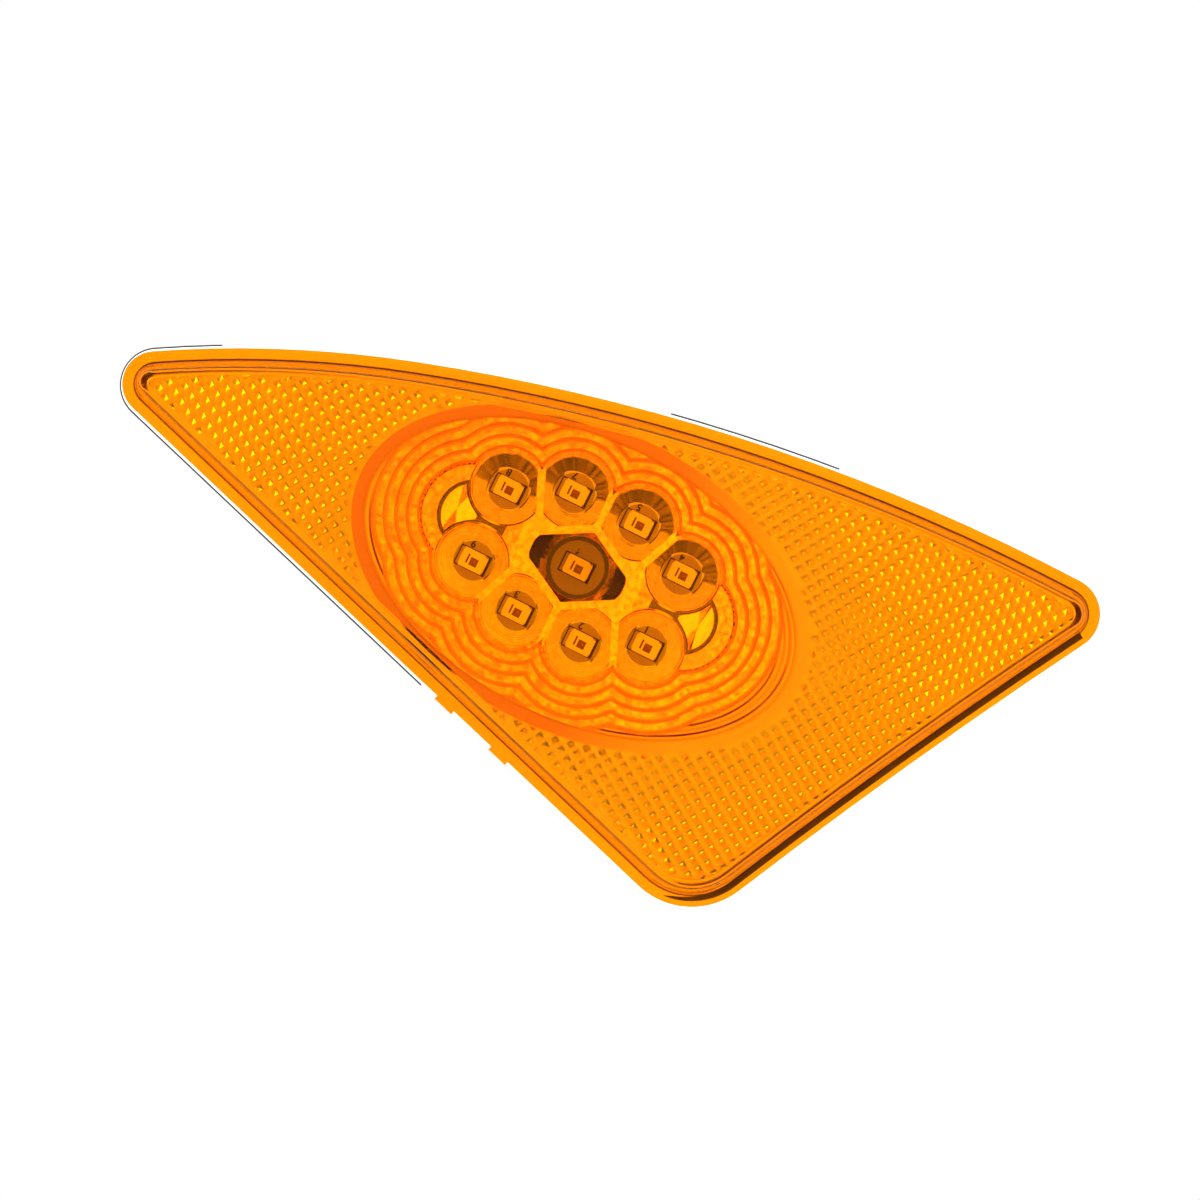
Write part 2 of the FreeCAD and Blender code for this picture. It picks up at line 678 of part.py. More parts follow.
os.makedirs("parts", exist_ok=True)
export(amber_lens(), "amber_lens")
export(housing(), "housing")
export(reflector(), "reflector")
export(circuit_board(), "circuit_board")
for n, at in led_at.items():
    export(led(at), "led_%d" % n)
for k in range(RESISTORS):
    aside = (k - (RESISTORS - 1) / 2) * RESISTOR_SPACING
    resistor_at = V(CLUSTER_X, CLUSTER_Y + aside, 0)
    export(resistor(resistor_at), "resistor_%d" % (k + 1))
export(reverse_diode(), "reverse_diode")
export(Part.makeCompound([board_screw(at) for at in screws_at]), "board_screws")
export(cable_grommet(), "cable_grommet")
export(mounting_gasket(), "mounting_gasket")
for k, at in enumerate(stud_at):
    export(stud(at), "mounting_stud_%d" % (k + 1))
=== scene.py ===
import json
import math

import bpy
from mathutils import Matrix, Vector

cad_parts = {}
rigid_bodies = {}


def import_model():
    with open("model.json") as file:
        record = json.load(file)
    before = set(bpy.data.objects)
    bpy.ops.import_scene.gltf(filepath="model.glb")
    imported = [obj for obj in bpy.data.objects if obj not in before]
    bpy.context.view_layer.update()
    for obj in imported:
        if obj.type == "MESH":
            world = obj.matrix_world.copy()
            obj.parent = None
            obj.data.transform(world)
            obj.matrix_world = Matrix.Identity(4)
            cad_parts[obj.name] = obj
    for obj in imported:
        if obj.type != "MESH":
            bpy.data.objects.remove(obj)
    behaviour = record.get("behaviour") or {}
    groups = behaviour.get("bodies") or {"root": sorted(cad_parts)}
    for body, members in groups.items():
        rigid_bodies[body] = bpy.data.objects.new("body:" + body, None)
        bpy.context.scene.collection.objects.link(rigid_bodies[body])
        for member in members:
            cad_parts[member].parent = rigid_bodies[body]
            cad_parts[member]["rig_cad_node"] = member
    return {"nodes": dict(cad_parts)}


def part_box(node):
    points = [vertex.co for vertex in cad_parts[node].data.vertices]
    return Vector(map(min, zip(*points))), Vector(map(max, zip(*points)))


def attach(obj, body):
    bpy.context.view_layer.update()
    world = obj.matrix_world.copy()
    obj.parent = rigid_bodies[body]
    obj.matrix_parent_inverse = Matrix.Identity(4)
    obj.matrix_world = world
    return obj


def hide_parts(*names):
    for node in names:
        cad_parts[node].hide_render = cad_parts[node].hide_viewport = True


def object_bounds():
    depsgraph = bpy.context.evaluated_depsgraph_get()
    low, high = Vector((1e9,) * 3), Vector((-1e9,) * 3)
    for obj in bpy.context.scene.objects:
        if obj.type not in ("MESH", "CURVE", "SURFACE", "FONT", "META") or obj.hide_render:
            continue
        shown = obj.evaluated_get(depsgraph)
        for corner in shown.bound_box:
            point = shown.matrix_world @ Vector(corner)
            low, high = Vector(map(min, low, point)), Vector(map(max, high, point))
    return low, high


# The lamp as it was drawn: every node in metres, on the mounting face's own axes,
# with the lens facing up.
MM = 0.001
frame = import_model()
cad_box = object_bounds()
nodes = frame["nodes"]


# Foam gasket: a ring cut from a sheet of closed-cell foam, glued behind the rim of the
# housing. It seals the lamp against the fender's skin.
TONE_SPAN = (0.3, 0.7)


def new_finish(name, roughness, metallic=0.0):
    """A material with its nodes, links and main shader at hand."""
    material = bpy.data.materials.new(name)
    material.use_nodes = True
    tree = material.node_tree
    shader = tree.nodes["Principled BSDF"]
    shader.inputs["Roughness"].default_value = roughness
    shader.inputs["Metallic"].default_value = metallic
    return material, tree.nodes, tree.links, shader


def two_tone(tree_nodes, links, shader, noise, dark, light):
    """Colour that drifts between two tones with a noise."""
    ramp = tree_nodes.new("ShaderNodeValToRGB")
    for stop, position, tone in zip(ramp.color_ramp.elements, TONE_SPAN, (dark, light)):
        stop.position = position
        stop.color = (*tone, 1)
    links.new(noise.outputs["Fac"], ramp.inputs["Fac"])
    links.new(ramp.outputs["Color"], shader.inputs["Base Color"])


def grained_finish(name, roughness, size, depth, dark, light, metallic=0.0):
    """Fine random relief, as moulding and foaming leave it, and a colour that goes with it."""
    material, tree_nodes, links, shader = new_finish(name, roughness, metallic)
    place = tree_nodes.new("ShaderNodeTexCoord")
    noise = tree_nodes.new("ShaderNodeTexNoise")
    noise.inputs["Scale"].default_value = 1 / size
    noise.inputs["Detail"].default_value = 3
    bump = tree_nodes.new("ShaderNodeBump")
    bump.inputs["Distance"].default_value = depth
    links.new(place.outputs["Object"], noise.inputs["Vector"])
    links.new(noise.outputs["Fac"], bump.inputs["Height"])
    links.new(bump.outputs["Normal"], shader.inputs["Normal"])
    two_tone(tree_nodes, links, shader, noise, dark, light)
    return material


def dress(node, material):
    nodes[node].data.materials.clear()
    nodes[node].data.materials.append(material)


foam = grained_finish(
    "black_foam", roughness=0.95, size=0.5 * MM, depth=0.15 * MM,
    dark=(0.012, 0.012, 0.012), light=(0.035, 0.035, 0.036),
)
dress("mounting_gasket", foam)

# Studs: zinc-plated steel, M5, moulded into the bosses of the housing by their heads. The
# thread is rolled, so its root lies inside the blank and its crest stands at full size.
STUD_RADIUS = 2.5 * MM
STUD_SMOOTH = 35
THREAD_ROOT = 2.07 * MM
THREAD_PITCH = 0.8 * MM
THREAD_CREST = 0.1 * MM
THREAD_SINK = 0.1 * MM
TURN_GAP = 0.02 * MM
THREAD_TOP = -0.8 * MM
THREAD_TURNS = 12
THREAD_STEPS = 24
SAME_PLACE = 0.0005 * MM

zinc = grained_finish(
    "zinc_steel", roughness=0.32, size=0.4 * MM, depth=0.01 * MM,
    dark=(0.52, 0.53, 0.56), light=(0.70, 0.71, 0.72), metallic=1.0,
)


def weld_all():
    """Select all of the open mesh and merge what lies in one place."""
    bpy.ops.mesh.select_mode(type="FACE")
    bpy.ops.mesh.select_all(action="SELECT")
    bpy.ops.mesh.remove_doubles(threshold=SAME_PLACE)


def pick_piece(piece):
    bpy.ops.object.select_all(action="DESELECT")
    piece.select_set(True)
    bpy.context.view_layer.objects.active = piece


def smooth_copy(node, name, angle):
    """A piece with a node's form, its loose triangles welded and its round faces smooth."""
    pick_piece(nodes[node])
    bpy.ops.object.duplicate()
    piece = bpy.context.object
    piece.name = name
    del piece["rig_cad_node"]
    bpy.ops.object.mode_set(mode="EDIT")
    weld_all()
    bpy.ops.object.mode_set(mode="OBJECT")
    if piece.data.has_custom_normals:
        bpy.ops.mesh.customdata_custom_splitnormals_clear()
    bpy.ops.object.shade_smooth_by_angle(angle=math.radians(angle))
    piece.data.materials.clear()
    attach(piece, "root")
    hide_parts(node)
    return piece


def settle(piece):
    """Write a piece's place, turn and scale into its mesh."""
    pick_piece(piece)
    bpy.ops.object.transform_apply(location=True, rotation=True, scale=True)


def copies_at(model, places):
    """Copies of a finished shape, each with its own mesh, in place of the shape itself."""
    copies = []
    for place in places:
        pick_piece(model)
        bpy.ops.object.duplicate()
        copy = bpy.context.object
        copy.location = place
        settle(copy)
        copies.append(copy)
    bpy.data.objects.remove(model)
    return copies


def join(pieces, name):
    bpy.ops.object.select_all(action="DESELECT")
    for piece in pieces:
        piece.select_set(True)
    bpy.context.view_layer.objects.active = pieces[0]
    bpy.ops.object.join()
    pieces[0].name = name
    return pieces[0]


def rolled_ridge():
    """One helical ridge that rises from the origin round a stud's root, closed at its ends."""
    bpy.ops.object.select_all(action="DESELECT")
    bpy.ops.mesh.primitive_plane_add(size=1)
    ridge = bpy.context.object
    foot = THREAD_ROOT - THREAD_SINK
    crest_low = (THREAD_PITCH - THREAD_CREST) / 2
    corners = (
        (foot, 0),
        (STUD_RADIUS, crest_low),
        (foot, THREAD_PITCH - TURN_GAP),
        (STUD_RADIUS, crest_low + THREAD_CREST),
    )
    for vertex, (reach, level) in zip(ridge.data.vertices, corners):
        vertex.co = (reach, 0, level)
    bpy.ops.object.mode_set(mode="EDIT")
    bpy.ops.mesh.select_all(action="SELECT")
    bpy.ops.mesh.delete(type="ONLY_FACE")
    bpy.ops.object.mode_set(mode="OBJECT")
    bpy.ops.object.modifier_add(type="SCREW")
    screw = ridge.modifiers["Screw"]
    screw.screw_offset = THREAD_PITCH
    screw.iterations = THREAD_TURNS
    screw.steps = THREAD_STEPS
    screw.render_steps = THREAD_STEPS
    bpy.ops.object.modifier_apply(modifier="Screw")
    bpy.ops.object.mode_set(mode="EDIT")
    bpy.ops.mesh.select_mode(type="EDGE")
    bpy.ops.mesh.select_all(action="DESELECT")
    bpy.ops.mesh.select_non_manifold()
    bpy.ops.mesh.fill_holes(sides=len(corners))
    bpy.ops.mesh.select_all(action="SELECT")
    bpy.ops.mesh.normals_make_consistent(inside=False)
    bpy.ops.object.mode_set(mode="OBJECT")
    return ridge


stud_axes = []
for number in (1, 2):
    low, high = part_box("mounting_stud_%d" % number)
    stud_axes.append(Vector(((low.x + high.x) / 2, (low.y + high.y) / 2, 0)))
thread_foot = Vector((0, 0, THREAD_TOP - (THREAD_TURNS + 1) * THREAD_PITCH))
ridges = copies_at(rolled_ridge(), [axis + thread_foot for axis in stud_axes])
for number, axis, ridge in zip((1, 2), stud_axes, ridges):
    stud = smooth_copy("mounting_stud_%d" % number, "threaded_stud_%d" % number, STUD_SMOOTH)
    bpy.ops.object.mode_set(mode="EDIT")
    for level in (THREAD_TOP, THREAD_TOP - THREAD_PITCH / 2):
        bpy.ops.mesh.select_all(action="SELECT")
        bpy.ops.mesh.bisect(plane_co=(0, 0, level), plane_no=(0, 0, 1))
    bpy.ops.object.mode_set(mode="OBJECT")
    for vertex in stud.data.vertices:
        arm = (vertex.co - axis).xy
        if vertex.co.z < THREAD_TOP - THREAD_PITCH / 4 and arm.length > THREAD_ROOT:
            vertex.co.xy = axis.xy + arm.normalized() * THREAD_ROOT
    join([stud, ridge], stud.name)
    bpy.ops.object.shade_smooth_by_angle(angle=math.radians(STUD_SMOOTH))
    stud.data.materials.clear()
    stud.data.materials.append(zinc)

# Cable bush: soft black rubber with a flange at either end, pressed into the hole in the
# tub's floor.
rubber = grained_finish(
    "black_rubber", roughness=0.75, size=0.25 * MM, depth=0.02 * MM,
    dark=(0.012, 0.012, 0.012), light=(0.03, 0.03, 0.03),
)
dress("cable_grommet", rubber)

# Housing: black plastic, moulded in one piece as a flat tray with a deep tub. Its front is
# metallised to a satin mirror behind the prisms. The rim's chamfer is painted white, a painted
# reflection of the white surroundings, apart from the stretches that stay black.
HOUSING_SMOOTH = 30
TRAY_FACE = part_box("amber_lens")[0].z / MM
FRONT_DEPTH = 0.3
LEVEL = 0.9
SLOPING = 0.5
UPRIGHT = 0.3
BLACK_RIM_X = (-59.7, -13.5, 1.2, 25.9)
UPPER_RIM_Y = 20
MOUTH_FOOT = -2.5
MOUTH_HALF = (34, 21.5)


def pick_faces(piece, wanted):
    """Open a piece with those faces selected whose centre, in mm, and normal are wanted."""
    bpy.context.view_layer.objects.active = piece
    bpy.ops.object.mode_set(mode="EDIT")
    bpy.ops.mesh.select_mode(type="FACE")
    bpy.ops.mesh.select_all(action="DESELECT")
    bpy.ops.object.mode_set(mode="OBJECT")
    for face in piece.data.polygons:
        face.select = wanted(face.center / MM, face.normal)
    bpy.ops.object.mode_set(mode="EDIT")


def finish_faces(piece, material, wanted):
    """Give the wanted faces one of the piece's materials."""
    pick_faces(piece, wanted)
    piece.active_material_index = piece.data.materials.find(material.name)
    bpy.ops.object.material_slot_assign()
    bpy.ops.object.mode_set(mode="OBJECT")


def on_front(centre, normal):
    return centre.z > TRAY_FACE - FRONT_DEPTH and normal.z > SLOPING


def on_chamfer(centre, normal):
    return on_front(centre, normal) and normal.z < LEVEL


def on_black_rim(centre, normal):
    tip, lower_left, upper_start, upper_end = BLACK_RIM_X
    left = centre.x < tip or (centre.x < lower_left and centre.y < 0)
    upper = upper_start < centre.x < upper_end and centre.y > UPPER_RIM_Y
    return on_chamfer(centre, normal) and (left or upper)


def in_tub_mouth(centre, normal):
    near = abs(centre.x) < MOUTH_HALF[0] and abs(centre.y) < MOUTH_HALF[1]
    upper = MOUTH_FOOT < centre.z < TRAY_FACE and abs(normal.z) < UPRIGHT
    return near and upper and normal.xy.dot(centre.xy) < 0


housing = smooth_copy("housing", "moulded_housing", HOUSING_SMOOTH)
black_plastic = grained_finish(
    "black_housing", roughness=0.45, size=0.6 * MM, depth=0.01 * MM,
    dark=(0.012, 0.012, 0.013), light=(0.022, 0.022, 0.024),
)
satin = grained_finish(
    "satin_mirror", roughness=0.14, size=1.5 * MM, depth=0.004 * MM,
    dark=(0.45, 0.45, 0.45), light=(0.48, 0.48, 0.48), metallic=1.0,
)
# Painted reflection: the chamfer's white stands in for the white surroundings mirrored in it.
rim_painted_reflection = grained_finish(
    "bright_rim_painted_reflection", roughness=0.5, size=1.5 * MM, depth=0.002 * MM,
    dark=(0.92, 0.92, 0.92), light=(0.96, 0.96, 0.96),
)
for finish in (black_plastic, satin, rim_painted_reflection):
    housing.data.materials.append(finish)
for x in BLACK_RIM_X:
    pick_faces(housing, on_chamfer)
    bpy.ops.mesh.bisect(plane_co=(x * MM, 0, 0), plane_no=(1, 0, 0))
    bpy.ops.object.mode_set(mode="OBJECT")
finish_faces(housing, satin, on_front)
finish_faces(housing, satin, in_tub_mouth)
# The chamfer gets the painted reflection; the black stretches keep the housing's own black.
finish_faces(housing, rim_painted_reflection, on_chamfer)
finish_faces(housing, black_plastic, on_black_rim)

# Painted shade: a thin sheet of black on the tray, under the lens along the lower right edge,
# where the lens's edge looks dark. It runs on round the bottom corner, where it thins out.
RIGHT_CORNER = Vector((71.7, 30.3, 0)) * MM
BOTTOM_CORNER = Vector((35.2, -37.7, 0)) * MM
EDGE_HOLLOW = 0.86 * MM
CORNER_CENTRE = Vector((29.49, -24.53, 0)) * MM
CORNER_RADIUS = 10.9 * MM
SHADE_STRIP_INSET = 0.7 * MM
SHADE_STRIP_WIDTH = 1.6 * MM
SHADE_STRIP_LEVEL = (TRAY_FACE + 0.006) * MM
SHADE_STRIP_THICKNESS = 0.018 * MM
SHADE_STRIP_START_SHORT = 8.0 * MM
SHADE_STRIP_CORNER_TURN = math.radians(61)
SHADE_STRIP_TURN_SLACK = 1.1
SHADE_STRIP_TAPER = 0.7
SHADE_STRIP_STEPS = 24

edge_way = BOTTOM_CORNER - RIGHT_CORNER
edge_out = Vector((-edge_way.y, edge_way.x, 0)).normalized()
edge_radius = (edge_way.length_squared / 4 + EDGE_HOLLOW ** 2) / (2 * EDGE_HOLLOW)
edge_centre = (RIGHT_CORNER + BOTTOM_CORNER) / 2 + edge_out * (edge_radius - EDGE_HOLLOW)
corner_side = (edge_centre - CORNER_CENTRE).normalized()
strip_from = RIGHT_CORNER + edge_way.normalized() * SHADE_STRIP_START_SHORT - edge_centre
strip_to = CORNER_CENTRE - edge_centre
strip_turn = strip_from.xy.angle_signed(strip_to.xy)

# The strip is painted shade, a black sheet far thinner than any bead.
bpy.ops.object.select_all(action="DESELECT")
bpy.ops.mesh.primitive_plane_add(size=SHADE_STRIP_WIDTH)
shade_strip = bpy.context.object
shade_strip.name = "painted_shade_strip"
bpy.ops.object.mode_set(mode="EDIT")
bpy.ops.mesh.select_mode(type="VERT")
bpy.ops.mesh.select_all(action="DESELECT")
bpy.ops.object.mode_set(mode="OBJECT")
for vertex in shade_strip.data.vertices:
    vertex.select = vertex.co.y > 0
bpy.ops.object.mode_set(mode="EDIT")
bpy.ops.mesh.delete(type="VERT")
bpy.ops.object.mode_set(mode="OBJECT")
away = strip_from.normalized()
for vertex, across in zip(shade_strip.data.vertices, (0, SHADE_STRIP_WIDTH)):
    vertex.co = edge_centre + away * (edge_radius + SHADE_STRIP_INSET + across)
    vertex.co.z = SHADE_STRIP_LEVEL
bpy.ops.object.mode_set(mode="EDIT")
bpy.ops.mesh.select_all(action="SELECT")
for turn, centre in ((strip_turn, edge_centre), (SHADE_STRIP_CORNER_TURN, CORNER_CENTRE)):
    bpy.ops.mesh.spin(steps=SHADE_STRIP_STEPS, angle=turn, center=centre, axis=(0, 0, 1))
bpy.ops.object.mode_set(mode="OBJECT")
for vertex in shade_strip.data.vertices:
    arm = Vector((vertex.co.x, vertex.co.y, 0)) - CORNER_CENTRE
    past = corner_side.xy.angle_signed(arm.xy)
    if 0 < past < SHADE_STRIP_CORNER_TURN * SHADE_STRIP_TURN_SLACK:
        outer = CORNER_RADIUS - SHADE_STRIP_INSET
        thin = max(0, 1 - past / SHADE_STRIP_CORNER_TURN) ** SHADE_STRIP_TAPER
        reach = outer - (outer - arm.length) * thin
        vertex.co.xy = (CORNER_CENTRE + arm.normalized() * reach).xy
bpy.ops.object.mode_set(mode="EDIT")
weld_all()
bpy.ops.mesh.extrude_region_move(TRANSFORM_OT_translate={"value": (0, 0, SHADE_STRIP_THICKNESS)})
bpy.ops.mesh.select_all(action="SELECT")
bpy.ops.mesh.normals_make_consistent(inside=False)
bpy.ops.object.mode_set(mode="OBJECT")
# It takes the housing's black as painted shade.
shade_strip.data.materials.append(black_plastic)
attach(shade_strip, "root")

# Circuit board: glass fibre with a pale solder mask, screwed to the back of the reflector.
# It lies at the foot of the cups, and its white is painted grey, as painted shade of the cups.
# Painted shade: grey tones in place of the mask's white.
board_painted_shade = grained_finish(
    "white_board", roughness=0.35, size=0.5 * MM, depth=0.01 * MM,
    dark=(0.26, 0.26, 0.24), light=(0.31, 0.31, 0.29),
)
dress("circuit_board", board_painted_shade)

# Print on the board: black ink, an outline round each LED with a bar at the end of its
# cathode, and the LED's number, which stands on its head beside it.
LED_NUMBERS = range(1, 10)
BOARD_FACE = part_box("circuit_board")[1].z
OUTLINE_LENGTH = 4.85 * MM
OUTLINE_WIDTH = 3.1 * MM
OUTLINE_SHIFT = -0.12 * MM
OUTLINE_LINE = 0.2 * MM
CATHODE_BAR = 0.42 * MM
INK_THICKNESS = 0.02 * MM
NUMBER_HEIGHT = 1.5 * MM
NUMBER_BOLD = 0.05 * MM
NUMBER_PLACE = Vector((-0.65, 2.7, 0)) * MM

ink = grained_finish(
    "black_ink", roughness=0.6, size=0.1 * MM, depth=0.002 * MM,
    dark=(0.008, 0.008, 0.01), light=(0.016, 0.016, 0.018),
)


def led_centre(number):
    low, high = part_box("led_%d" % number)
    return Vector(((low.x + high.x) / 2, (low.y + high.y) / 2, BOARD_FACE))


def printed_outline():
    """A thin frame round the origin, thick at its right end."""
    bpy.ops.object.select_all(action="DESELECT")
    bpy.ops.mesh.primitive_plane_add(size=1)
    piece = bpy.context.object
    piece.scale = (OUTLINE_LENGTH, OUTLINE_WIDTH, 1)
    settle(piece)
    bpy.ops.object.mode_set(mode="EDIT")
    bpy.ops.mesh.select_mode(type="FACE")
    bpy.ops.mesh.select_all(action="SELECT")
    bpy.ops.mesh.inset(thickness=OUTLINE_LINE)
    bpy.ops.mesh.delete(type="FACE")
    bpy.ops.object.mode_set(mode="OBJECT")
    for vertex in piece.data.vertices:
        if 0 < vertex.co.x < OUTLINE_LENGTH / 2 - OUTLINE_LINE / 2:
            vertex.co.x -= CATHODE_BAR - OUTLINE_LINE
    bpy.ops.object.mode_set(mode="EDIT")
    bpy.ops.mesh.select_all(action="SELECT")
    bpy.ops.mesh.extrude_region_move(TRANSFORM_OT_translate={"value": (0, 0, INK_THICKNESS)})
    bpy.ops.object.mode_set(mode="OBJECT")
    return piece


def printed_number(number):
    bpy.ops.object.select_all(action="DESELECT")
    at = led_centre(number) + NUMBER_PLACE
    bpy.ops.object.text_add(location=at, rotation=(0, 0, math.pi))
    piece = bpy.context.object
    piece.data.body = str(number)
    piece.data.size = NUMBER_HEIGHT
    piece.data.offset = NUMBER_BOLD
    piece.data.extrude = INK_THICKNESS / 2
    bpy.ops.object.convert(target="MESH")
    settle(piece)
    return piece


outline_shift = Vector((OUTLINE_SHIFT, 0, 0))
outlines = copies_at(printed_outline(), [led_centre(n) + outline_shift for n in LED_NUMBERS])
board_print = join(outlines + [printed_number(n) for n in LED_NUMBERS], "board_print")
bpy.ops.object.mode_set(mode="EDIT")
weld_all()
bpy.ops.object.mode_set(mode="OBJECT")
board_print.data.materials.clear()
board_print.data.materials.append(ink)
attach(board_print, "root")

# Parts on the back of the board: chip resistors and a diode in black moulding, soldered on,
# and the two plated screws that hold the board.
chip_black = grained_finish(
    "black_chip", roughness=0.5, size=0.15 * MM, depth=0.01 * MM,
    dark=(0.02, 0.02, 0.02), light=(0.04, 0.04, 0.04),
)
for part in ("resistor_1", "resistor_2", "resistor_3", "reverse_diode"):
    dress(part, chip_black)
dress("board_screws", zinc)

# LEDs: nine surface-mount packages in pale moulding with tinned leads, which take the pale
# moulding's finish here. The chip lies in a brown pocket, and a slit beside it parts the two
# halves of the lead frame.
LED_SMOOTH = 20
LED_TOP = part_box("led_1")[1].z / MM
POCKET_DEPTH = 0.3
POCKET_SLACK = 0.05
POCKET_UPRIGHT = 0.1

led_white = grained_finish(
    "led_body", roughness=0.4, size=0.2 * MM, depth=0.005 * MM,
    dark=(0.82, 0.80, 0.72), light=(0.90, 0.88, 0.80),
)
led_brown = grained_finish(
    "led_chip", roughness=0.3, size=0.1 * MM, depth=0.005 * MM,
    dark=(0.10, 0.07, 0.05), light=(0.18, 0.12, 0.09),
)


def in_pocket(centre, normal):
    sunk = POCKET_SLACK < LED_TOP - centre.z < POCKET_DEPTH + POCKET_SLACK
    return sunk and (normal.z > LEVEL or abs(normal.z) < POCKET_UPRIGHT)


for number in LED_NUMBERS:
    package = smooth_copy("led_%d" % number, "led_package_%d" % number, LED_SMOOTH)
    package.data.materials.append(led_white)
    package.data.materials.append(led_brown)
    finish_faces(package, led_brown, in_pocket)

# LED dies: a speck of semiconductor on the floor of each pocket, glued down with silver
# paste.
DIE_SIZE = 0.3 * MM
DIE_BEVEL = DIE_SIZE / 8
DIE_PLACE = Vector((0.3, -0.1, 0)) * MM
POCKET_FLOOR = (LED_TOP - POCKET_DEPTH) * MM

die_red = grained_finish(
    "led_die", roughness=0.2, size=0.05 * MM, depth=0.002 * MM,
    dark=(0.55, 0.03, 0.01), light=(0.75, 0.06, 0.02),
)
bpy.ops.object.select_all(action="DESELECT")
bpy.ops.mesh.primitive_cube_add(size=DIE_SIZE)
die = bpy.context.object
bpy.ops.object.modifier_add(type="BEVEL")
die.modifiers["Bevel"].width = DIE_BEVEL
bpy.ops.object.modifier_apply(modifier="Bevel")
die_places = [led_centre(number) + DIE_PLACE for number in LED_NUMBERS]
for at in die_places:
    at.z = POCKET_FLOOR + DIE_SIZE / 2
led_dies = join(copies_at(die, die_places), "led_dies")
led_dies.data.materials.append(die_red)
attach(led_dies, "root")

# Reflector: one plastic moulding, metallised in a vacuum. Its nine cups are turned cones
# in the mould, so their walls carry fine rings. The trenches round the half-moons are painted
# dark, as painted shade.
REFLECTOR_SMOOTH = 18
MIRROR_ROUGHNESS = 0.04
WAVE_TEXTURE_RATE = 20
RING_PITCH = 0.9 * MM
RING_DEPTH = 0.006 * MM
EDGE_ROUND = 0.12 * MM
EDGE_SAMPLES = 4
STREAK_SIZE = 0.8 * MM
STREAK_STRETCH = 0.15
STREAK_DEPTH = 0.005 * MM

reflector = smooth_copy("reflector", "metallised_reflector", REFLECTOR_SMOOTH)


def vector_math(tree_nodes, operation, *constants):
    """A vector operation whose second and third inputs are constants."""
    node = tree_nodes.new("ShaderNodeVectorMath")
    node.operation = operation
    for socket, constant in zip(list(node.inputs)[1:], constants):
        socket.default_value = constant
    return node


def stepped_normal(tree_nodes, links, place, facet_tilt):
    """Normals of steps too fine to model, whose facets all lean one angle off the level."""
    tilt = math.radians(facet_tilt)
    form = tree_nodes.new("ShaderNodeNewGeometry")
    level = vector_math(tree_nodes, "MULTIPLY", (1, 1, 0))
    unit = vector_math(tree_nodes, "NORMALIZE")
    upright = (0, 0, math.cos(tilt))
    lean = vector_math(tree_nodes, "MULTIPLY_ADD", (math.sin(tilt),) * 3, upright)
    rings = tree_nodes.new("ShaderNodeTexWave")
    rings.bands_direction = "Z"
    rings.inputs["Scale"].default_value = 2 * math.pi / (WAVE_TEXTURE_RATE * RING_PITCH)
    ring_bump = tree_nodes.new("ShaderNodeBump")
    ring_bump.inputs["Distance"].default_value = RING_DEPTH
    links.new(form.outputs["Normal"], level.inputs[0])
    links.new(level.outputs["Vector"], unit.inputs[0])
    links.new(unit.outputs["Vector"], lean.inputs[0])
    links.new(lean.outputs["Vector"], ring_bump.inputs["Normal"])
    links.new(place.outputs["Object"], rings.inputs["Vector"])
    links.new(rings.outputs["Fac"], ring_bump.inputs["Height"])
    return ring_bump.outputs["Normal"]


def rounded_normal(tree_nodes):
    """Normals that round a mould's sharp edges off."""
    rounded = tree_nodes.new("ShaderNodeBevel")
    rounded.samples = EDGE_SAMPLES
    rounded.inputs["Radius"].default_value = EDGE_ROUND
    return rounded.outputs["Normal"]


def mirror_finish(name, dark, light, facet_tilt=None):
    """Vacuum metal with faint streaks, plain or cut in fine steps of a given tilt in degrees."""
    material, tree_nodes, links, shader = new_finish(name, MIRROR_ROUGHNESS, metallic=1.0)
    place = tree_nodes.new("ShaderNodeTexCoord")
    if facet_tilt is None:
        form = rounded_normal(tree_nodes)
    else:
        form = stepped_normal(tree_nodes, links, place, facet_tilt)
    fineness = Vector((1, 1, STREAK_STRETCH)) / STREAK_SIZE
    flow = vector_math(tree_nodes, "MULTIPLY", fineness)
    streaks = tree_nodes.new("ShaderNodeTexNoise")
    streaks.inputs["Scale"].default_value = 1.0
    streaks.inputs["Detail"].default_value = 2
    streak_bump = tree_nodes.new("ShaderNodeBump")
    streak_bump.inputs["Distance"].default_value = STREAK_DEPTH
    links.new(place.outputs["Object"], flow.inputs[0])
    links.new(flow.outputs["Vector"], streaks.inputs["Vector"])
    two_tone(tree_nodes, links, shader, streaks, dark, light)
    links.new(streaks.outputs["Fac"], streak_bump.inputs["Height"])
    links.new(form, streak_bump.inputs["Normal"])
    links.new(streak_bump.outputs["Normal"], shader.inputs["Normal"])
    return material


CUP_MOUTH = 4.9
CUP_SLOPE = (0.15, 0.5)
LAND = 0.6
LOWER_CUPS = (1, 2, 3, 9)
UPPER_CUPS = (4, 5, 7, 8)
END_CUPS = (1, 4, 8, 9)
MIDDLE_CUP = 6
MOON_X = 16.6
MOON_REACH = 4.5
MOON_FOOT = 0.05
MOON_SLOPE = (0.8, 0.995)
TRENCH_LEVELS = (-2.4, -0.3)
TRENCH_REACH = 5.3
CUP_RIM_REACH = 5.3
TUBE_REACH = 4.6
TUBE_SLOPE = 0.5
TUBE_TOP = BOARD_FACE / MM + 3.3
CELL_REACH = 9
CELL_CORNER_X = 5
CELL_LEVELS = (TUBE_TOP - 0.2, 0.3)
CELL_SLOPE = 0.97
FLANGE_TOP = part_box("reflector")[1].z / MM
FLANGE_SLACK = 0.1
RISER_FOOT = 0.78
RISER_SLOPE = (0.4, 0.7)
END_LEVEL = 0.1
END_SLACK = 0.05
cup_centres = {number: led_centre(number).xy / MM for number in LED_NUMBERS}
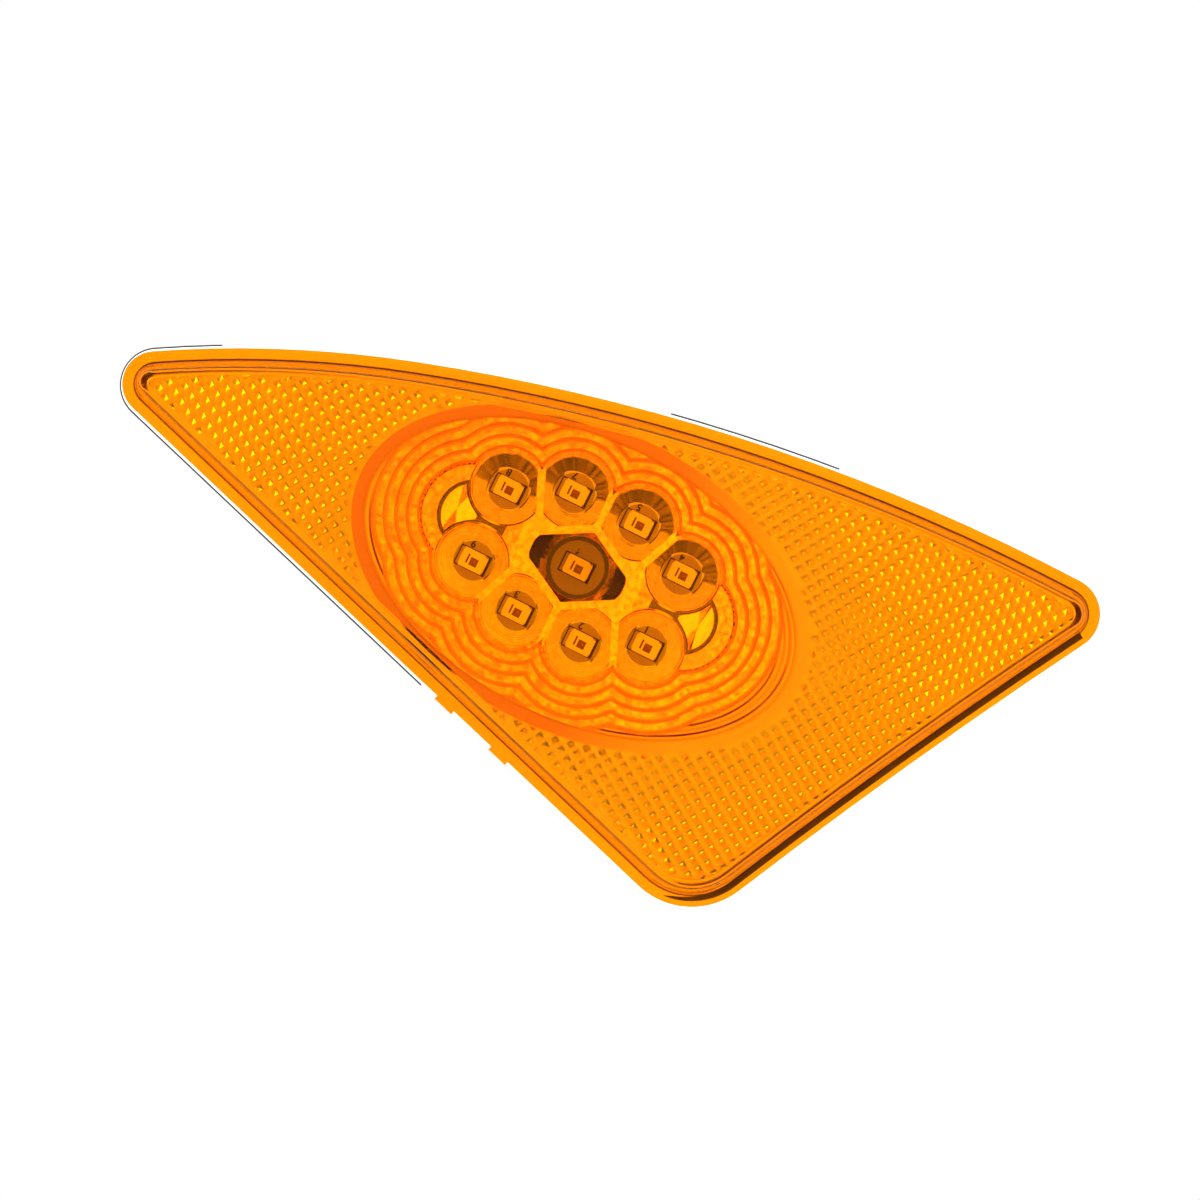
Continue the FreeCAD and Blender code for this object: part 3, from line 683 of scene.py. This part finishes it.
end_centres = [cup_centres[number] for number in END_CUPS]
middle = cup_centres[MIDDLE_CUP]
moons = [middle + Vector((side * MOON_X, 0)) for side in (-1, 1)]


def nearest(at, centres):
    return min((at - centre).length for centre in centres)


def on_cup_walls(row):
    """A test for the walls of some cups."""
    def wanted(centre, normal):
        if not BOARD_FACE / MM < centre.z < LAND or not CUP_SLOPE[0] < normal.z < CUP_SLOPE[1]:
            return False
        arms = [centre.xy - cup_centres[number] for number in row]
        return any(arm.length < CUP_MOUTH and arm.dot(normal.xy) < 0 for arm in arms)
    return wanted


def on_moon(centre, normal):
    near = nearest(centre.xy, moons) < MOON_REACH and centre.z > MOON_FOOT
    return near and MOON_SLOPE[0] < normal.z < MOON_SLOPE[1]


def in_trench(centre, normal):
    sunk = TRENCH_LEVELS[0] < centre.z < TRENCH_LEVELS[1]
    near = nearest(centre.xy, moons) <= TRENCH_REACH
    return sunk and near and nearest(centre.xy, end_centres) > CUP_RIM_REACH


def in_tube(centre, normal):
    arm = centre.xy - middle
    inside = arm.length < TUBE_REACH and normal.xy.dot(arm) < 0
    return inside and centre.z < TUBE_TOP and abs(normal.z) < TUBE_SLOPE


def in_cell_corner(centre, normal):
    arm = centre.xy - middle
    inwards = arm.dot(normal.xy) < 0 and abs(normal.z) < CELL_SLOPE
    corner = TUBE_REACH < arm.length < CELL_REACH and abs(arm.x) > CELL_CORNER_X
    return inwards and corner and CELL_LEVELS[0] < centre.z < CELL_LEVELS[1]


def on_flange(centre, normal):
    return centre.z > FLANGE_TOP - FLANGE_SLACK and normal.z > LEVEL


def on_terrace(centre, normal):
    at_moons = abs(centre.z - END_LEVEL) < END_SLACK
    stepped = RISER_FOOT < centre.z < FLANGE_TOP - FLANGE_SLACK
    return normal.z > LEVEL and (at_moons or stepped)


def on_riser(centre, normal):
    stepped = RISER_FOOT < centre.z < FLANGE_TOP
    return stepped and RISER_SLOPE[0] < normal.z < RISER_SLOPE[1]


# Its flange is duller than the rest. Its colour is painted light and shade: the amber of the
# lens above it painted in, and painted shade outside the oval opening, deepest at the narrow
# end.
OPENING = Vector((32.2, 19.5)) * MM
OPENING_EDGE = (0.995, 1.005)
FLANGE_FADE_X = (6 * MM, 22 * MM)
FLANGE_TINT = {
    "Red": (0.78, 0.32, 0.46),
    "Green": (0.48, 0.205, 0.39),
    "Blue": (0.4, 0.2, 0.38),
}
WAVE_SHARE = 0.05
WAVE_HEIGHT = 0.1 * MM
WAVE_END = (1.0, 1.01)


def ramp_value(tree_nodes, links, value, span, at_start, at_end):
    """A value that goes from one level to another while its input crosses a span."""
    node = tree_nodes.new("ShaderNodeMapRange")
    node.inputs["From Min"].default_value, node.inputs["From Max"].default_value = span
    node.inputs["To Min"].default_value = at_start
    node.inputs["To Max"].default_value = at_end
    links.new(value, node.inputs["Value"])
    return node.outputs["Result"]


def flange_finish(name):
    material, tree_nodes, links, shader = new_finish(name, roughness=0.12, metallic=1.0)
    place = tree_nodes.new("ShaderNodeTexCoord").outputs["Object"]
    along = vector_math(tree_nodes, "DOT_PRODUCT", (1, 0, 0))
    squash = vector_math(tree_nodes, "MULTIPLY", (1 / OPENING.x, 1 / OPENING.y, 0))
    reach = vector_math(tree_nodes, "LENGTH")
    links.new(place, along.inputs[0])
    links.new(place, squash.inputs[0])
    links.new(squash.outputs["Vector"], reach.inputs[0])
    share = reach.outputs["Value"]
    outside = ramp_value(tree_nodes, links, share, OPENING_EDGE, 0, 1)
    # Painted light and shade: the lens's amber within the opening, painted shade beyond it.
    tint = tree_nodes.new("ShaderNodeCombineColor")
    for part, (within, narrow_end, wide_end) in FLANGE_TINT.items():
        tone = tree_nodes.new("ShaderNodeMix")
        tone.inputs["A"].default_value = within
        beyond = ramp_value(
            tree_nodes, links, along.outputs["Value"], FLANGE_FADE_X, narrow_end, wide_end
        )
        links.new(outside, tone.inputs["Factor"])
        links.new(beyond, tone.inputs["B"])
        links.new(tone.outputs["Result"], tint.inputs[part])
    links.new(tint.outputs["Color"], shader.inputs["Base Color"])
    phase = tree_nodes.new("ShaderNodeMath")
    phase.operation = "MULTIPLY"
    phase.inputs[1].default_value = 2 * math.pi / WAVE_SHARE
    wave = tree_nodes.new("ShaderNodeMath")
    wave.operation = "SINE"
    swell = tree_nodes.new("ShaderNodeMath")
    swell.operation = "MULTIPLY"
    wave_bump = tree_nodes.new("ShaderNodeBump")
    wave_bump.inputs["Distance"].default_value = WAVE_HEIGHT
    links.new(share, phase.inputs[0])
    links.new(phase.outputs["Value"], wave.inputs[0])
    links.new(wave.outputs["Value"], swell.inputs[0])
    links.new(ramp_value(tree_nodes, links, share, WAVE_END, 1, 0), swell.inputs[1])
    links.new(swell.outputs["Value"], wave_bump.inputs["Height"])
    links.new(wave_bump.outputs["Normal"], shader.inputs["Normal"])
    return material


# Its other finishes: bright metal on lands, terraces and risers, with the lens's amber painted
# in as painted light, painted highlights on the terraces and painted shade on the risers; fine
# steps in cups and half-moons; and painted shade in trenches, the middle tube and its cell.
STEP_TONES = {"dark": (0.68, 0.67, 0.65), "light": (0.86, 0.85, 0.83)}

# The flange's colour is painted amber light and painted shade.
flange_painted_light = flange_finish("flange_painted_light_and_shade")
# Painted shade: dark metal for the trenches, the middle tube and the corners of its cell.
recess_painted_shade = grained_finish(
    "recess_painted_shade_metal", roughness=0.2, size=0.4 * MM, depth=0.004 * MM,
    dark=(0.10, 0.09, 0.09), light=(0.16, 0.15, 0.15), metallic=1.0,
)
# Painted light: the lens's amber painted into the metal's tones.
mirror_painted_amber = mirror_finish("metallised_mirror", dark=(0.68, 0.48, 0.40), light=(0.86, 0.80, 0.70))
lower_steps = mirror_finish("lower_stepped_mirror", **STEP_TONES, facet_tilt=19.5)
upper_steps = mirror_finish("upper_stepped_mirror", **STEP_TONES, facet_tilt=25.0)
moon = mirror_finish("moon_mirror", **STEP_TONES, facet_tilt=5.5)
# Painted highlights: light and dark streaks on the terraces, tinted with the amber.
terrace_painted_highlights = mirror_finish("terrace_painted_highlights_mirror", dark=(0.68, 0.24, 0.18), light=(0.86, 0.68, 0.50))
# Painted shade: the risers darker than the terraces.
riser_painted_shade = mirror_finish(
    "riser_painted_shade_mirror", dark=(0.50, 0.22, 0.15), light=(0.60, 0.31, 0.20), facet_tilt=10.0
)
for finish in (mirror_painted_amber, recess_painted_shade, flange_painted_light, lower_steps, upper_steps, moon, terrace_painted_highlights, riser_painted_shade):
    reflector.data.materials.append(finish)
for finish, wanted in (
    (lower_steps, on_cup_walls(LOWER_CUPS)),
    (upper_steps, on_cup_walls(UPPER_CUPS)),
    (moon, on_moon),
    # Painted shade in the recesses.
    (recess_painted_shade, in_trench),
    (recess_painted_shade, in_tube),
    (recess_painted_shade, in_cell_corner),
    (flange_painted_light, on_flange),
    (terrace_painted_highlights, on_terrace),
    (riser_painted_shade, on_riser),
):
    finish_faces(reflector, finish, wanted)

# Lens: clear amber acrylic, moulded with a flange that is welded to the tray and a field of
# prisms behind its face. Its side wall is solid, so the slits that the window's recess cuts
# into it, at the top and the lower left, are filled.
LENS_SMOOTH = 32
WELD_GAP = 0.03 * MM
WELD_FACE = (TRAY_FACE + 0.001) * MM
FILL_HEIGHT = 0.5 * MM
WALL_FILLS = (
    (Vector((-14.86, -18.86, 6.75)) * MM, 21.0 * MM, 1.2 * MM, math.radians(-17.18)),
    (Vector((-11.78, 19.81, 6.75)) * MM, 20.5 * MM, 0.95 * MM, math.radians(13.18)),
)

lens = smooth_copy("amber_lens", "amber_lens_moulding", LENS_SMOOTH)
for at, length, width, turn in WALL_FILLS:
    bpy.ops.object.select_all(action="DESELECT")
    bpy.ops.mesh.primitive_cube_add(size=1, location=at, rotation=(0, 0, turn))
    fill = bpy.context.object
    fill.scale = (length, width, FILL_HEIGHT)
    settle(fill)
    bpy.context.view_layer.objects.active = lens
    bpy.ops.object.modifier_add(type="BOOLEAN")
    lens.modifiers["Boolean"].operation = "UNION"
    lens.modifiers["Boolean"].object = fill
    bpy.ops.object.modifier_apply(modifier="Boolean")
    bpy.data.objects.remove(fill)
lens.select_set(True)
bpy.ops.object.shade_smooth_by_angle(angle=math.radians(LENS_SMOOTH))
for vertex in lens.data.vertices:
    if vertex.co.z < WELD_FACE:
        vertex.co.z += WELD_GAP
amber, _, _, amber_shader = new_finish("amber_lens", roughness=0.01)
amber_shader.inputs["Base Color"].default_value = (1.0, 0.46, 0.0, 1)
amber_shader.inputs["Transmission Weight"].default_value = 1.0
amber_shader.inputs["IOR"].default_value = 1.49
amber_shader.inputs["Specular Tint"].default_value = (0.05, 0.05, 0.05, 1)
lens.data.materials.append(amber)

# White sweep under the lamp: a sheet of paper that looks plain white in the picture and in
# mirrors, and that isn't seen from below.
FLOOR_LEVEL = cad_box[0].z - 0.05 * MM
FLOOR_SIZE = 4.0
FLOOR_CELLS = 4

bpy.ops.object.select_all(action="DESELECT")
bpy.ops.mesh.primitive_grid_add(
    x_subdivisions=FLOOR_CELLS, y_subdivisions=FLOOR_CELLS, size=FLOOR_SIZE,
    location=(0, 0, FLOOR_LEVEL),
)
floor = bpy.context.object
floor.name = "floor"
white_paper, paper_nodes, paper_links, paper_shader = new_finish("white_paper", roughness=0.9)
paper_shader.inputs["Base Color"].default_value = (0.9, 0.9, 0.9, 1)
glow = paper_nodes.new("ShaderNodeEmission")
glow.inputs["Strength"].default_value = 1.0
rays = paper_nodes.new("ShaderNodeLightPath")
seen = rays.outputs["Is Camera Ray"]
for kind in ("Is Glossy Ray", "Is Transmission Ray"):
    either = paper_nodes.new("ShaderNodeMath")
    either.operation = "MAXIMUM"
    paper_links.new(seen, either.inputs[0])
    paper_links.new(rays.outputs[kind], either.inputs[1])
    seen = either.outputs["Value"]
backdrop = paper_nodes.new("ShaderNodeMixShader")
paper_links.new(seen, backdrop.inputs["Fac"])
paper_links.new(paper_shader.outputs["BSDF"], backdrop.inputs[1])
paper_links.new(glow.outputs["Emission"], backdrop.inputs[2])
side = paper_nodes.new("ShaderNodeNewGeometry")
nothing = paper_nodes.new("ShaderNodeBsdfTransparent")
one_sided = paper_nodes.new("ShaderNodeMixShader")
paper_links.new(side.outputs["Backfacing"], one_sided.inputs["Fac"])
paper_links.new(backdrop.outputs["Shader"], one_sided.inputs[1])
paper_links.new(nothing.outputs["BSDF"], one_sided.inputs[2])
paper_links.new(one_sided.outputs["Shader"], paper_nodes["Material Output"].inputs["Surface"])
floor.data.materials.append(white_paper)

# Soft light of a white tent round the lamp: brighter towards the top of the picture, dark
# low down at its foot, with the camera's own shade overhead. An edge is a span of angles off
# the zenith, in degrees.
PICTURE_TURN = math.radians(26.2)
OVERHEAD_LIGHT = 3.6
OVERHEAD_EDGE = (12, 18)
RING_TOP_LIGHT = 2.6
RING_FOOT_LIGHT = 2.0
RING_FADE = 0.35
SIDE_LIGHT = 1.6
SIDE_EDGE = (34, 36)
ROOM_EDGE = (43, 45)
ROOM_FADE = 0.05
DARK_SIDE_RIGHT = -0.34
DARK_SIDE_UP = -0.94
DARK_LIGHT = 0.2
ROOM_LIGHT = 0.75
FOLD_FINENESS = 11
FOLD_BAND = (0.45, 0.62)
LOW_LIGHT = 0.4
LOW_EDGE = (56, 64)
CAMERA_SHADE = math.radians(4.3)
CAMERA_SHADE_LIGHT = 0.82
CAMERA_SHADE_SHIFT = 0.055
CAMERA_SHADE_FADE = 0.001

picture_right = Vector((math.cos(PICTURE_TURN), math.sin(PICTURE_TURN), 0))
picture_up = Vector((-math.sin(PICTURE_TURN), math.cos(PICTURE_TURN), 0))
zenith = Vector((0, 0, 1))
dark_side = (picture_right * DARK_SIDE_RIGHT + picture_up * DARK_SIDE_UP).normalized()
world = bpy.data.worlds.new("tent")
bpy.context.scene.world = world
world.use_nodes = True
tent_nodes, tent_links = world.node_tree.nodes, world.node_tree.links
where = tent_nodes.new("ShaderNodeTexCoord")


def towards(direction):
    """How far a view goes in one direction."""
    node = vector_math(tent_nodes, "DOT_PRODUCT", direction)
    tent_links.new(where.outputs["Generated"], node.inputs[0])
    return node.outputs["Value"]


def soft_step(value, low, high, at_low, at_high):
    node = tent_nodes.new("ShaderNodeMapRange")
    node.interpolation_type = "SMOOTHSTEP"
    node.inputs["From Min"].default_value = low
    node.inputs["From Max"].default_value = high
    node.inputs["To Min"].default_value = at_low
    node.inputs["To Max"].default_value = at_high
    tent_links.new(value, node.inputs["Value"])
    return node.outputs["Result"]


def combine(operation, first, second):
    node = tent_nodes.new("ShaderNodeMath")
    node.operation = operation
    tent_links.new(first, node.inputs[0])
    tent_links.new(second, node.inputs[1])
    return node.outputs["Value"]


def blend(factor, first, second):
    """A value that goes from the first to the second with the factor."""
    node = tent_nodes.new("ShaderNodeMix")
    tent_links.new(factor, node.inputs["Factor"])
    for value, socket in ((first, node.inputs["A"]), (second, node.inputs["B"])):
        if isinstance(value, float):
            socket.default_value = value
        else:
            tent_links.new(value, socket)
    return node.outputs["Result"]


height = towards(zenith)


def below(edge, before, after):
    """A step at one of these edges."""
    start, end = [math.cos(math.radians(angle)) for angle in edge]
    return soft_step(height, end, start, after, before)


ring = soft_step(towards(picture_up), -RING_FADE, RING_FADE, RING_FOOT_LIGHT, RING_TOP_LIGHT)
upper = blend(below(OVERHEAD_EDGE, 0, 1), OVERHEAD_LIGHT, ring)
walls = blend(below(SIDE_EDGE, 0, 1), upper, SIDE_LIGHT)
foot_side = soft_step(towards(dark_side), -ROOM_FADE, ROOM_FADE, 0, 1)
at_foot = combine("MINIMUM", below(ROOM_EDGE, 0, 1), foot_side)
flatten = vector_math(tent_nodes, "MULTIPLY", (1, 1, 0))
folds = tent_nodes.new("ShaderNodeTexNoise")
folds.inputs["Scale"].default_value = FOLD_FINENESS
tent_links.new(where.outputs["Generated"], flatten.inputs[0])
tent_links.new(flatten.outputs["Vector"], folds.inputs["Vector"])
room = soft_step(folds.outputs["Fac"], *FOLD_BAND, DARK_LIGHT, ROOM_LIGHT)
tent = combine("MULTIPLY", blend(at_foot, walls, room), below(LOW_EDGE, 1, LOW_LIGHT))
shade_at = towards((zenith - picture_right * CAMERA_SHADE_SHIFT).normalized())
shade_from = math.cos(CAMERA_SHADE) - CAMERA_SHADE_FADE
shade_to = math.cos(CAMERA_SHADE) + CAMERA_SHADE_FADE
shade = soft_step(shade_at, shade_from, shade_to, 1, CAMERA_SHADE_LIGHT)
sky = combine("MULTIPLY", tent, shade)
view_rays = tent_nodes.new("ShaderNodeLightPath").outputs["Is Camera Ray"]
tent_links.new(blend(view_rays, sky, 1.0), tent_nodes["Background"].inputs["Strength"])
tent_nodes["Background"].inputs["Color"].default_value = (1, 1, 1, 1)

# Camera: straight above the lamp, turned so that the oval window lies aslant as pictured.
# Light may go to and fro often enough between lens and mirrors.
CAMERA_AIM = Vector((3.8, -1.4, 5.6)) * MM
CAMERA_HEIGHT = 330 * MM
CAMERA_NEAR = 10 * MM
PICTURE_WIDTH = 168 * MM

camera_data = bpy.data.cameras.new("camera")
camera = bpy.data.objects.new("camera", camera_data)
bpy.context.scene.collection.objects.link(camera)
camera.location = CAMERA_AIM + Vector((0, 0, CAMERA_HEIGHT))
camera.rotation_euler = (0, 0, PICTURE_TURN)
camera_data.sensor_fit = "HORIZONTAL"
camera_data.lens = camera_data.sensor_width * CAMERA_HEIGHT / PICTURE_WIDTH
camera_data.clip_start = CAMERA_NEAR
bpy.context.scene.camera = camera
bpy.context.scene.view_settings.view_transform = "Standard"
bpy.context.scene.cycles.max_bounces = 24
bpy.context.scene.cycles.glossy_bounces = 12
bpy.context.scene.cycles.transmission_bounces = 16
bpy.context.scene.cycles.blur_glossy = 0.0
